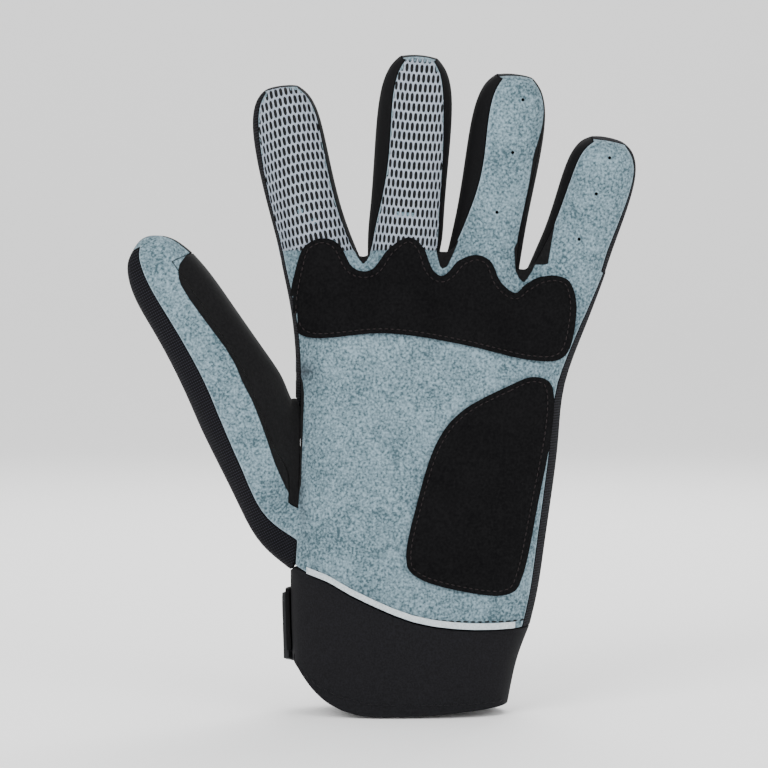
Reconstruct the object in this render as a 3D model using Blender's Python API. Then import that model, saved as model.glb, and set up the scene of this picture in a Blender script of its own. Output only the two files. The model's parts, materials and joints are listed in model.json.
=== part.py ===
"""Left-hand non-slip cycling glove, filled as if worn, held up by the open end of its cuff.

Metres, +Z up. The fingers point up, the palm looks to -Y and the thumb points to -X. The origin
is the middle of the cuff's open end. Every panel is a closed shell as thick as its cloth, and
the hand goes in between them from below.
"""
import math

import bmesh
import bpy
from mathutils import Matrix, Vector

MM = 0.001

# Main sizes
GLOVE_HEIGHT = 242 * MM     # cuff edge to the tip of the middle finger
KNUCKLE_WIDTH = 120 * MM    # across the four finger bases, filled
FINGER_WIDTH = 26.5 * MM
FINGER_DEPTH = 24.0 * MM
PALM_DEPTH = 41.0 * MM
FINGER_CURL = 13.0 * MM     # how far a fingertip leans forward

# Cloth and fits
CLOTH = 1.3 * MM            # suede and knit
NEOPRENE = 2.4 * MM         # cuff
SEAM_GAP = 0.3 * MM         # between two panels along their seam
LAY_GAP = 0.3 * MM          # between a pad and the panel it lies on
PAD_THICK = 1.2 * MM
HEM_THICK = 0.9 * MM
STRAP_THICK = 1.6 * MM
BADGE_THICK = 2.0 * MM

# Shape of the cross-sections
FINGER_ROUND = 2.25         # 2 is an ellipse, more is squarer
PALM_ROUND = 2.7
BACK_ANGLE = 62             # degrees from the middle of a finger's back to its side seam
THUMB_CORNER = 0.955        # share of the half width where the palm's front ends, thumb side
OUTER_CORNER = 0.92         # the same at the little finger's side
PALM_HOLLOW = 2.5 * MM      # how deep the palm is dished

# One row per finger. x is a share of the knuckle width, z of the glove height. The finger stands
# between its left and right web; bow is a share of its length, turn is degrees, width is a share
# of the finger width, and top is how much wider it is near the tip.
FINGERS = [
    # name     left_x   right_x  left_z  right_z  tip_x    tip_z   bow     turn  width  top
    ("index", -0.389, -0.143, 0.683, 0.694, -0.385, 0.951, -0.026, 0, 1.00, 1.00),
    ("middle", -0.123, 0.102, 0.694, 0.702, 0.036, 0.998, 0.000, 0, 1.04, 1.07),
    ("ring", 0.122, 0.346, 0.702, 0.674, 0.328, 0.969, 0.008, 4, 0.99, 1.06),
    ("little", 0.366, 0.614, 0.674, 0.670, 0.614, 0.871, 0.020, 0, 1.00, 1.02),
]

# Degrees from the middle of a finger's front to its two front seams: at its base, low on it,
# halfway and near the tip
SEAM_PLACES = [0.0, 0.18, 0.45, 0.80]
LEFT_SEAMS = [
    # base  low  half  tip
    (62, 61, 59, 49),
    (62, 48, 34, 35),
    (62, 48, 31, 35),
    (62, 54, 50, 45),
]
RIGHT_SEAMS = [
    # base  low  half  tip
    (62, 60, 60, 62),
    (62, 56, 55, 43),
    (62, 46, 53, 62),
    (62, 54, 57, 63),
]

# Sections along a finger, from its base to its tip
FINGER_SECTIONS = [
    # along  width  depth  seam (share of the seams' angles)
    (0.10, 1.03, 1.06, 1.00),
    (0.24, 1.00, 1.02, 1.00),
    (0.40, 1.00, 1.00, 1.00),
    (0.56, 1.01, 0.98, 1.00),
    (0.71, 1.00, 0.95, 1.02),
    (0.84, 0.94, 0.88, 1.08),
    (0.935, 0.76, 0.70, 1.16),
    (0.985, 0.48, 0.44, 1.20),
]

# Sections across the hand at heights that are shares of the glove height, widths and depth as
# shares of the knuckle width and the palm depth
HAND_SECTIONS = [
    # z      left    right   depth
    (0.000, -0.350, 0.308, 1.04),
    (0.100, -0.356, 0.352, 1.05),
    (0.150, -0.360, 0.396, 1.04),
    (0.210, -0.362, 0.414, 1.03),
    (0.300, -0.358, 0.440, 1.04),
    (0.430, -0.350, 0.474, 1.00),
    (0.510, -0.347, 0.481, 0.95),
    (0.575, -0.338, 0.540, 0.90),
    (0.620, -0.360, 0.575, 0.84),
    (0.675, -0.389, 0.612, 0.74),
]

# Rows of the hand from the hem to the finger bases, as shares of that height. The thumb joins
# between the hem and the sixth row.
HAND_ROWS = [0.0, 0.100, 0.205, 0.310, 0.420, 0.535, 0.685, 0.850]
THUMB_BOTTOM_ROW = 0
THUMB_TOP_ROW = 5

# Lower edge of the panels and of the cuff, at shares of the half width from the thumb side,
# heights as shares of the glove height
HEM_LINE = [
    # across  palm_hem  back_hem  palm_rim  back_rim
    (-1.00, 0.216, 0.216, 0.080, 0.080),
    (-0.80, 0.212, 0.200, 0.034, 0.040),
    (-0.45, 0.178, 0.180, 0.004, 0.020),
    (0.00, 0.144, 0.168, 0.000, 0.008),
    (0.45, 0.132, 0.155, 0.004, 0.006),
    (1.00, 0.132, 0.132, 0.012, 0.012),
]
CUFF_ROWS = [0.0, 0.30, 0.62]

# Sections along the thumb from its root to its tip: the end at the index finger's side, the end
# at the outer side, the middle's y and the depth. x is a share of the knuckle width, y and depth
# of the palm depth, z of the glove height.
THUMB_SECTIONS = [
    # inner_x  inner_z  outer_x  outer_z   y       depth
    (-0.367, 0.494, -0.468, 0.258, -0.071, 0.791),
    (-0.377, 0.508, -0.532, 0.330, -0.112, 0.767),
    (-0.391, 0.522, -0.619, 0.416, -0.171, 0.720),
    (-0.415, 0.540, -0.668, 0.474, -0.236, 0.673),
    (-0.460, 0.572, -0.708, 0.520, -0.289, 0.643),
    (-0.536, 0.627, -0.768, 0.577, -0.342, 0.626),
    (-0.599, 0.673, -0.821, 0.620, -0.390, 0.596),
    (-0.649, 0.700, -0.847, 0.654, -0.425, 0.531),
    (-0.700, 0.721, -0.853, 0.684, -0.454, 0.401),
    (-0.738, 0.725, -0.831, 0.703, -0.472, 0.236),
]
THUMB_ROUND = 2.2
THUMB_FRONT_ANGLE = 60
THUMB_TURN = -10            # degrees that the thumb's front looks away from the fingers
CREASE = [3.6, 3.0, 2.4, 1.8, 2.4, 3.0]     # mm: the fold at the thumb's root, from the top down
CREASE_SINK = 0.4 * MM
ROOT_COUNT = 2              # how often the thumb's root is evened out, and by how much
ROOT_SHARE = 0.4
PATCH_ENDS = 2              # rings short of the tip where the thumb patch ends

# Outlines of what is sewn on, seen from the front: x as shares of the knuckle width, z of the
# glove height.
# corner 1 is a sharp corner, 0 is on a smooth line
FINGER_BASE_PAD = [
    # x       z      corner
    (-0.352, 0.627, 0),
    (-0.334, 0.675, 0),
    (-0.312, 0.709, 0),
    (-0.259, 0.722, 0),
    (-0.213, 0.711, 0),
    (-0.177, 0.679, 0),
    (-0.136, 0.670, 0),
    (-0.095, 0.676, 0),
    (-0.052, 0.706, 0),
    (0.003, 0.723, 0),
    (0.044, 0.708, 0),
    (0.068, 0.675, 0),
    (0.101, 0.663, 0),
    (0.132, 0.670, 0),
    (0.163, 0.687, 0),
    (0.211, 0.696, 0),
    (0.252, 0.686, 0),
    (0.280, 0.655, 0),
    (0.326, 0.637, 0),
    (0.363, 0.649, 0),
    (0.411, 0.662, 0),
    (0.460, 0.664, 0),
    (0.497, 0.652, 0),
    (0.510, 0.610, 0),
    (0.476, 0.546, 0),
    (0.371, 0.538, 0),
    (0.161, 0.562, 0),
    (-0.060, 0.578, 0),
    (-0.282, 0.571, 0),
    (-0.345, 0.594, 0),
]
HEEL_PAD = [
    # x       z      corner
    (0.302, 0.498, 0),
    (0.383, 0.513, 0),
    (0.436, 0.497, 0),
    (0.434, 0.432, 0),
    (0.391, 0.320, 0),
    (0.347, 0.216, 0),
    (0.298, 0.185, 0),
    (0.165, 0.191, 0),
    (0.032, 0.211, 0),
    (-0.004, 0.243, 0),
    (0.028, 0.322, 0),
    (0.085, 0.410, 0),
    (0.165, 0.461, 0),
]
STRAP_OUTLINE = [
    # x       z      corner
    (-0.524, 0.186, 1),
    (0.121, 0.190, 0),
    (0.262, 0.184, 0),
    (0.339, 0.150, 0),
    (0.339, 0.112, 0),
    (0.262, 0.080, 0),
    (0.121, 0.078, 0),
    (-0.524, 0.098, 1),
]
BADGE_OUTLINE = [
    # x       z      corner
    (-0.524, 0.168, 1),
    (-0.302, 0.184, 0),
    (-0.121, 0.195, 0),
    (0.060, 0.190, 0),
    (0.202, 0.166, 0),
    (0.302, 0.134, 1),
    (0.181, 0.092, 0),
    (0.020, 0.056, 0),
    (-0.121, 0.046, 0),
    (-0.302, 0.064, 0),
    (-0.524, 0.092, 1),
]
HEM_WIDTH = 2.4 * MM
BADGE_EDGE = 6 * MM          # how far behind the middle plane the badge ends, at the thumb side

# Columns of a finger: four in front, three at each side, four behind
FRONT_COLUMNS = 4
SIDE_COLUMNS = 3
FINGER_COLUMNS = 2 * (FRONT_COLUMNS + SIDE_COLUMNS)
HAND_FRONT = 4 * FRONT_COLUMNS + 3
HAND_COLUMNS = 2 * (HAND_FRONT + SIDE_COLUMNS)
WEB_COLUMN_WEIGHT = 0.4
THUMB_FRONT = THUMB_TOP_ROW - THUMB_BOTTOM_ROW

COLOURS = {
    # name                 red    green  blue   roughness
    "palm_panel": (0.33, 0.42, 0.47, 0.95),
    "back_panel": (0.012, 0.012, 0.015, 0.85),
    "index_middle_side": (0.010, 0.010, 0.012, 0.7),
    "middle_ring_side": (0.010, 0.010, 0.012, 0.7),
    "ring_little_side": (0.010, 0.010, 0.012, 0.7),
    "thumb_patch": (0.016, 0.016, 0.018, 0.95),
    "thumb_back": (0.010, 0.010, 0.012, 0.7),
    "thumb_side": (0.012, 0.012, 0.015, 0.85),
    "finger_base_pad": (0.018, 0.018, 0.020, 0.95),
    "heel_pad": (0.018, 0.018, 0.020, 0.95),
    "palm_hem": (0.50, 0.54, 0.56, 0.9),
    "cuff": (0.010, 0.010, 0.011, 0.8),
    "wrist_strap": (0.014, 0.014, 0.016, 0.85),
    "strap_badge": (0.030, 0.031, 0.035, 0.5),
}

for old in list(bpy.data.objects):
    bpy.data.objects.remove(old, do_unlink=True)


def at(table, place, column):
    """The value of a table's column at a place in its first column, on a smooth line."""
    rows = [(row[0], row[column]) for row in table]
    if place <= rows[0][0]:
        return rows[0][1]
    if place >= rows[-1][0]:
        return rows[-1][1]
    steps = [(y1 - y0) / (x1 - x0) for (x0, y0), (x1, y1) in zip(rows, rows[1:])]
    slopes = [steps[0]] + [(a + b) / 2 for a, b in zip(steps, steps[1:])] + [steps[-1]]
    i = max(k for k in range(len(steps)) if rows[k][0] <= place)
    (x0, y0), (x1, y1) = rows[i], rows[i + 1]
    wide = x1 - x0
    t = (place - x0) / wide
    return (y0 * (2 * t ** 3 - 3 * t ** 2 + 1) + wide * slopes[i] * (t ** 3 - 2 * t ** 2 + t)
            + y1 * (3 * t ** 2 - 2 * t ** 3) + wide * slopes[i + 1] * (t ** 3 - t ** 2))


def rounded(value, power):
    return math.copysign(abs(value) ** (2 / power), value)


class Surface:
    """The outer face of the whole glove: points, and quads with the panel each belongs to."""

    def __init__(self):
        self.points = []
        self.quads = []
        self.panels = []

    def add(self, places):
        start = len(self.points)
        self.points += [Vector(p) for p in places]
        return list(range(start, len(self.points)))

    def quad(self, corners, panel):
        self.quads.append(tuple(corners))
        self.panels.append(panel)

    def join(self, lower, upper, panels):
        """Quads between two closed rings of the same length. panels has a name per column."""
        count = len(lower)
        for i in range(count):
            j = (i + 1) % count
            if panels[i]:
                self.quad((lower[i], lower[j], upper[j], upper[i]), panels[i])

    def relax(self, picked, count, share):
        """Moves the picked points towards the middle of their neighbours."""
        near = {i: set() for i in picked}
        for quad in self.quads:
            for a, b in zip(quad, quad[1:] + quad[:1]):
                if a in near:
                    near[a].add(b)
                if b in near:
                    near[b].add(a)
        for _ in range(count):
            goals = {i: sum((self.points[k] for k in ends), Vector()) / len(ends)
                     for i, ends in near.items()}
            for i, goal in goals.items():
                self.points[i] = self.points[i].lerp(goal, share)

    def cap(self, ring, front, side, tip, panels):
        """Closes a ring's end with a grid of front x side quads, domed towards the tip."""
        top = ring[:front + 1]
        right = ring[front:front + side + 1]
        back = ring[front + side:2 * front + side + 1][::-1]
        left = [ring[0]] + ring[2 * front + side:][::-1]
        rows = [top]
        for j in range(1, side):
            row = [left[j]]
            for i in range(1, front):
                across = self.points[left[j]].lerp(self.points[right[j]], i / front)
                along = self.points[top[i]].lerp(self.points[back[i]], j / side)
                dome = math.sin(math.pi * i / front) * math.sin(math.pi * j / side)
                row += self.add([(across + along) / 2 + tip * dome])
            rows.append(row + [right[j]])
        rows.append(back)
        for j in range(side):
            for i in range(front):
                corners = (rows[j][i], rows[j][i + 1], rows[j + 1][i + 1], rows[j + 1][i])
                self.quad(corners, panels[j])


def ring_angles(front, side, left, right, behind):
    """Angles round a section from the middle of its front, first the front's left end."""
    angles = []
    for start, end, count in ((-left, right, front), (right, 180 - behind, side),
                              (180 - behind, 180 + behind, front),
                              (180 + behind, 360 - left, side)):
        angles += [start + (end - start) * i / count for i in range(count)]
    return angles


def section(middle, across, depth_way, depth, angles, power):
    """Points of a rounded section: across is half its width, the front is at -depth_way."""
    points = []
    for angle in angles:
        a = math.radians(angle)
        points.append(middle + across * rounded(math.sin(a), power)
                      - depth_way * (depth / 2 * rounded(math.cos(a), power)))
    return points


def finger_rings(row, left_seams, right_seams):
    """The rings of a finger, the first at its base between the two webs."""
    _, left_x, right_x, left_z, right_z, tip_x, tip_z, bow, turn, width, top = row
    left = Vector((left_x * KNUCKLE_WIDTH, 0, left_z * GLOVE_HEIGHT))
    right = Vector((right_x * KNUCKLE_WIDTH, 0, right_z * GLOVE_HEIGHT))
    base = (left + right) / 2
    tip = Vector((tip_x * KNUCKLE_WIDTH, 0, tip_z * GLOVE_HEIGHT))
    length = (tip - base).length
    sideways = Vector((0, 1, 0)).cross((tip - base).normalized())

    def middle(along):
        bulge = bow * length * 4 * along * (1 - along)
        return base.lerp(tip, along) + sideways * bulge + Vector((0, -FINGER_CURL * along ** 1.7, 0))

    left_line = list(zip(SEAM_PLACES, left_seams))
    right_line = list(zip(SEAM_PLACES, right_seams))
    angles = ring_angles(FRONT_COLUMNS, SIDE_COLUMNS, left_seams[0], right_seams[0], BACK_ANGLE)
    rings = [section(base, (right - left) / 2, Vector((0, 1, 0)),
                     FINGER_DEPTH * 1.10, angles, FINGER_ROUND)]
    for along, wide, deep, seam in FINGER_SECTIONS:
        way = (middle(along + 0.01) - middle(along - 0.01)).normalized()
        across = Vector((0, 1, 0)).cross(way).normalized()
        depth_way = way.cross(across).normalized()
        angles = ring_angles(FRONT_COLUMNS, SIDE_COLUMNS, at(left_line, along, 1) * seam,
                             at(right_line, along, 1) * seam, BACK_ANGLE * seam)
        angles = [a + turn for a in angles]
        wide *= width + (top - width) * min(1.0, along / 0.7)
        rings.append(section(middle(along), across * (FINGER_WIDTH * wide / 2), depth_way,
                             FINGER_DEPTH * deep, angles, FINGER_ROUND))
    return rings, tip - middle(0.985) + Vector((0, -FINGER_CURL, 0))


def hand_shares():
    """Share of the half width, left to right, of each upright line on the front of the hand."""
    weights = []
    for finger in range(4):
        weights += [1.0] * FRONT_COLUMNS
        if finger < 3:
            weights.append(WEB_COLUMN_WEIGHT)
    shares = [-THUMB_CORNER]
    for weight in weights:
        shares.append(shares[-1] + (THUMB_CORNER + OUTER_CORNER) * weight / sum(weights))
    return shares


def hand_round(across):
    """How far out of the middle plane the hand's section is, as a share of half its depth."""
    return max(0.0, 1 - abs(across) ** PALM_ROUND) ** (1 / PALM_ROUND)


def hand_lines():
    """(share across, share of the depth) of every upright line round the hand."""
    front = [(u, -hand_round(u)) for u in hand_shares()]
    sides = []
    for corner in (-front[-1][1], -front[0][1]):
        ways = [-corner + 2 * corner * i / SIDE_COLUMNS for i in range(1, SIDE_COLUMNS)]
        sides.append([((1 - abs(d) ** PALM_ROUND) ** (1 / PALM_ROUND), d) for d in ways])
    back = [(u, -d) for u, d in reversed(front)]
    return front + sides[0] + back + [(-u, -d) for u, d in sides[1]]


def hand_point(across, deep, z):
    """A point of the hand's surface at a height."""
    share = z / GLOVE_HEIGHT
    left = at(HAND_SECTIONS, share, 1) * KNUCKLE_WIDTH
    right = at(HAND_SECTIONS, share, 2) * KNUCKLE_WIDTH
    depth = at(HAND_SECTIONS, share, 3) * PALM_DEPTH / 2
    y = deep * depth
    if deep < 0:
        dish = max(0.0, 1 - (across / 0.55) ** 2) * max(0.0, 1 - ((share - 0.42) / 0.2) ** 2)
        y += PALM_HOLLOW * dish
    return Vector(((left + right) / 2 + across * (right - left) / 2, y, z))


def hem_height(across, deep, palm_column, back_column):
    """Height of a lower edge on a line round the hand."""
    palm = at(HEM_LINE, across, palm_column)
    back = at(HEM_LINE, across, back_column)
    share = min(1.0, max(0.0, 0.5 + deep))
    return (palm + (back - palm) * share) * GLOVE_HEIGHT


def build_surface():
    """The outer face of the glove, and the rings where the cuff begins and ends."""
    surface = Surface()
    lines = hand_lines()
    sides = ["index_middle_side", "middle_ring_side", "ring_little_side"]
    rings = []
    for number, row in enumerate(FINGERS):
        places, tip = finger_rings(row, LEFT_SEAMS[number], RIGHT_SEAMS[number])
        finger = [surface.add(ring) for ring in places]
        right = sides[number] if number < 3 else "back_panel"
        left = sides[number - 1] if number > 0 else "back_panel"
        panels = (["palm_panel"] * FRONT_COLUMNS + [right] * SIDE_COLUMNS
                  + ["back_panel"] * FRONT_COLUMNS + [left] * SIDE_COLUMNS)
        for lower, upper in zip(finger, finger[1:]):
            surface.join(lower, upper, panels)
        surface.cap(finger[-1], FRONT_COLUMNS, SIDE_COLUMNS, tip,
                    ["palm_panel"] + ["back_panel"] * (SIDE_COLUMNS - 1))
        rings.append(finger[0])

    # Webs: a strip from the front to the back between two neighbouring fingers
    left_ends = [0] + list(range(FINGER_COLUMNS - 1, FINGER_COLUMNS - 1 - SIDE_COLUMNS, -1))
    for number in range(3):
        here, there = rings[number], rings[number + 1]
        for i in range(SIDE_COLUMNS):
            a = here[FRONT_COLUMNS + i]
            b = here[FRONT_COLUMNS + i + 1]
            surface.quad((a, b, there[left_ends[i + 1]], there[left_ends[i]]), sides[number])

    # The hand's top row is made of the four finger bases
    top = []
    for ring in rings:
        top += ring[:FRONT_COLUMNS + 1]
    top += rings[3][FRONT_COLUMNS + 1:FRONT_COLUMNS + SIDE_COLUMNS]
    for ring in reversed(rings):
        top += ring[FRONT_COLUMNS + SIDE_COLUMNS:2 * FRONT_COLUMNS + SIDE_COLUMNS + 1]
    top += rings[0][2 * FRONT_COLUMNS + SIDE_COLUMNS + 1:]

    hems = [hem_height(u, d, 1, 2) for u, d in lines]
    rims = [hem_height(u, d, 3, 4) for u, d in lines]
    rows = []
    for share in HAND_ROWS:
        row = []
        fade = max(0.0, (share - 0.5) / 0.5) ** 2
        for (u, d), hem, end in zip(lines, hems, top):
            goal = surface.points[end]
            z = hem + share * (goal.z - hem)
            bulge = goal - hand_point(u, d, goal.z)
            row.append(hand_point(u, d, z) + Vector((bulge.x, bulge.y, 0)) * fade)
        rows.append(surface.add(row))
    rows.append(top)

    right = HAND_FRONT + SIDE_COLUMNS
    left = 2 * HAND_FRONT + SIDE_COLUMNS
    panels = (["palm_panel"] * HAND_FRONT + ["back_panel"] * SIDE_COLUMNS
              + ["back_panel"] * HAND_FRONT + ["back_panel"] * SIDE_COLUMNS)
    for number, (lower, upper) in enumerate(zip(rows, rows[1:])):
        names = list(panels)
        if THUMB_BOTTOM_ROW <= number < THUMB_TOP_ROW:
            names[left:] = [None] * SIDE_COLUMNS
        surface.join(lower, upper, names)

    # The thumb's hole in the hand: down the front, under, up the back and over
    front = [rows[n][0] for n in range(THUMB_TOP_ROW, THUMB_BOTTOM_ROW - 1, -1)]
    under = rows[THUMB_BOTTOM_ROW][left + 1:][::-1]
    back = [rows[n][left] for n in range(THUMB_BOTTOM_ROW, THUMB_TOP_ROW + 1)]
    over = rows[THUMB_TOP_ROW][left + 1:]
    hole = front + under + back + over
    angles = ring_angles(THUMB_FRONT, SIDE_COLUMNS, THUMB_FRONT_ANGLE, THUMB_FRONT_ANGLE,
                         THUMB_FRONT_ANGLE)
    sections = []
    for number, (inner_x, inner_z, outer_x, outer_z, y, depth) in enumerate(THUMB_SECTIONS):
        inner = Vector((inner_x * KNUCKLE_WIDTH, y * PALM_DEPTH, inner_z * GLOVE_HEIGHT))
        outer = Vector((outer_x * KNUCKLE_WIDTH, y * PALM_DEPTH, outer_z * GLOVE_HEIGHT))
        turn = THUMB_TURN * min(1.0, number / 3)
        sections.append(section((inner + outer) / 2, (outer - inner) / 2, Vector((0, 1, 0)),
                                depth * PALM_DEPTH, [a + turn for a in angles], THUMB_ROUND))
    root = []
    for number, (start, goal) in enumerate(zip(hole, sections[0])):
        way = goal - surface.points[start]
        wide = (CREASE[number] if number < len(CREASE) else CREASE[0]) * MM
        sink = CREASE_SINK if number < THUMB_FRONT else 0
        root.append(surface.points[start] + way * min(0.5, wide / way.length)
                    + Vector((0, sink, 0)))
    thumb = [hole] + [surface.add(places) for places in [root] + sections]
    palm = ["palm_panel"] * 2
    outside = ["thumb_side"] * (SIDE_COLUMNS + 1)
    names = (["thumb_patch"] * 2 + palm + outside + ["thumb_back"] * (THUMB_FRONT - 1)
             + ["thumb_patch"] * (SIDE_COLUMNS + 1))
    fold = ["thumb_patch"] * 3 + names[3:]
    ends = palm + palm + outside + ["thumb_back"] * (THUMB_FRONT + SIDE_COLUMNS)
    surface.join(thumb[0], thumb[1], fold)
    for number, (lower, upper) in enumerate(zip(thumb[1:], thumb[2:])):
        last = number >= len(thumb) - 2 - PATCH_ENDS
        surface.join(lower, upper, ends if last else names)
    tip = Vector((-0.030, -0.012, 0.045)).normalized() * 0.012 * GLOVE_HEIGHT
    surface.cap(thumb[-1], THUMB_FRONT, SIDE_COLUMNS, tip,
                ["palm_panel"] + ["thumb_back"] * (SIDE_COLUMNS - 1))

    under_at = range(THUMB_FRONT + 1, THUMB_FRONT + SIDE_COLUMNS)
    evened = [i for ring in thumb[:2] for k, i in enumerate(ring) if k not in under_at]
    surface.relax(evened, ROOT_COUNT, ROOT_SHARE)

    # The cuff goes on down from the hem
    cuff = [rows[0]]
    for share in reversed(CUFF_ROWS):
        row = []
        for (u, d), hem, rim in zip(lines, hems, rims):
            row.append(hand_point(u, d, rim + share * (hem - rim)))
        cuff.append(surface.add(row))
    for upper, lower in zip(cuff, cuff[1:]):
        surface.join(lower, upper, ["cuff"] * HAND_COLUMNS)
    return surface


def face_out(surface):
    """Turns every quad outward and gives each point its smooth outward direction."""
    bm = bmesh.new()
    points = [bm.verts.new(p) for p in surface.points]
    faces = [bm.faces.new([points[i] for i in quad]) for quad in surface.quads]
    bmesh.ops.recalc_face_normals(bm, faces=faces)
    highest = max(faces, key=lambda f: f.calc_center_median().z)
    if highest.normal.z < 0:
        bmesh.ops.reverse_faces(bm, faces=faces)
    bm.verts.index_update()
    bm.normal_update()
    surface.quads = [tuple(v.index for v in face.verts) for face in faces]
    ways = [v.normal.copy() for v in points]
    bm.free()
    return ways


def triangles(surface, numbers):
    """The picked quads as triangles, each cut along its shorter diagonal."""
    cut = []
    for number in numbers:
        a, b, c, d = surface.quads[number]
        p = surface.points
        if (p[a] - p[c]).length <= (p[b] - p[d]).length:
            cut += [(a, b, c), (a, c, d)]
        else:
            cut += [(a, b, d), (b, c, d)]
    return cut


def border_edges(faces):
    """Directed edges with a face on one side only."""
    edges = set()
    for face in faces:
        for a, b in zip(face, face[1:] + face[:1]):
            edges.add((a, b))
    return [(a, b) for a, b in sorted(edges) if (b, a) not in edges]


def thick_shell(surface, ways, faces, low, high, seam):
    """A closed shell over the faces from low to high outward, its border pulled in by seam."""
    shifts = {}
    for a, b in border_edges(faces):
        along = (surface.points[b] - surface.points[a]).normalized()
        for end in (a, b):
            inward = ways[end].cross(along).normalized()
            shifts.setdefault(end, []).append(inward)
    used = sorted({i for face in faces for i in face})
    number = {i: k for k, i in enumerate(used)}
    outer = []
    inner = []
    for i in used:
        shift = Vector((0, 0, 0))
        if i in shifts and seam:
            first, second = (shifts[i] * 2)[:2]
            shift = (first + second) * (seam / max(0.6, 1 + first.dot(second)))
        outer.append(surface.points[i] + ways[i] * high + shift)
        inner.append(surface.points[i] + ways[i] * low + shift)
    size = len(used)
    solid = [tuple(number[i] for i in face) for face in faces]
    solid += [tuple(number[i] + size for i in reversed(face)) for face in faces]
    for a, b in border_edges(faces):
        a, b = number[a], number[b]
        solid += [(b, a, a + size), (b, a + size, b + size)]
    return outer + inner, solid


def make_object(name, points, faces):
    mesh = bpy.data.meshes.new(name)
    mesh.from_pydata([tuple(p) for p in points], [], faces)
    mesh.validate()
    thing = bpy.data.objects.new(name, mesh)
    bpy.context.collection.objects.link(thing)
    return thing


def paint(thing):
    red, green, blue, rough = COLOURS[thing.name]
    material = bpy.data.materials.new(thing.name)
    material.use_nodes = True
    shader = material.node_tree.nodes["Principled BSDF"]
    shader.inputs["Base Color"].default_value = (red, green, blue, 1)
    shader.inputs["Roughness"].default_value = rough
    thing.data.materials.append(material)


def smooth_outline(rows, steps):
    """A closed outline through the rows' points, rounded everywhere but at the corners."""
    points = [Vector((x * KNUCKLE_WIDTH, z * GLOVE_HEIGHT)) for x, z, _ in rows]
    count = len(points)
    line = []
    for i in range(count):
        a, b, c, d = (points[(i + k) % count] for k in (-1, 0, 1, 2))
        start = Vector((0, 0)) if rows[i][2] else (c - a) / 2
        end = Vector((0, 0)) if rows[(i + 1) % count][2] else (d - b) / 2
        if rows[i][2] and rows[(i + 1) % count][2]:
            line.append(b)
            continue
        for k in range(steps):
            t = k / steps
            line.append(b * (2 * t ** 3 - 3 * t ** 2 + 1) + start * (t ** 3 - 2 * t ** 2 + t)
                        + c * (3 * t ** 2 - 2 * t ** 3) + end * (t ** 3 - t ** 2))
    return line


def prism(outline, y_low, y_high):
    """An upright outline as a closed solid between two depths."""
    size = len(outline)
    points = [(p.x, y_low, p.y) for p in outline] + [(p.x, y_high, p.y) for p in outline]
    faces = [tuple(range(size)), tuple(range(2 * size - 1, size - 1, -1))]
    for i in range(size):
        j = (i + 1) % size
        faces.append((i, i + size, j + size, j))
    thing = make_object("cutter", points, faces)
    bm = bmesh.new()
    bm.from_mesh(thing.data)
    bmesh.ops.recalc_face_normals(bm, faces=bm.faces)
    bmesh.ops.triangulate(bm, faces=[f for f in bm.faces if len(f.verts) > 4])
    bm.to_mesh(thing.data)
    bm.free()
    return thing


def laid_on(name, surface, ways, wanted, lift, thick, outline, y_low, y_high):
    """A layer over the wanted faces, cut to the outline."""
    picked = [n for n, quad in enumerate(surface.quads) if wanted(quad)]
    points, faces = thick_shell(surface, ways, triangles(surface, picked), lift, lift + thick, 0)
    layer = make_object(name, points, faces)
    cutter = prism(outline, y_low, y_high)
    cut = layer.modifiers.new("outline", "BOOLEAN")
    cut.operation = "INTERSECT"
    cut.solver = "EXACT"
    cut.object = cutter
    bpy.context.view_layer.objects.active = layer
    layer.select_set(True)
    bpy.ops.object.modifier_apply(modifier=cut.name)
    layer.select_set(False)
    bpy.data.objects.remove(cutter, do_unlink=True)
    bm = bmesh.new()
    bm.from_mesh(layer.data)
    bmesh.ops.remove_doubles(bm, verts=bm.verts, dist=0.00002)
    bmesh.ops.dissolve_degenerate(bm, edges=bm.edges, dist=0.00002)
    bmesh.ops.triangulate(bm, faces=bm.faces)
    bm.to_mesh(layer.data)
    bm.free()
    paint(layer)
    return layer


def near(surface, quad, side, low, high):
    """Whether a quad lies on the front (-1) or back (1) of the hand between two heights."""
    middle = sum((surface.points[i] for i in quad), Vector()) / len(quad)
    return middle.y * side > -0.3 * PALM_DEPTH and low < middle.z < high


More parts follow.
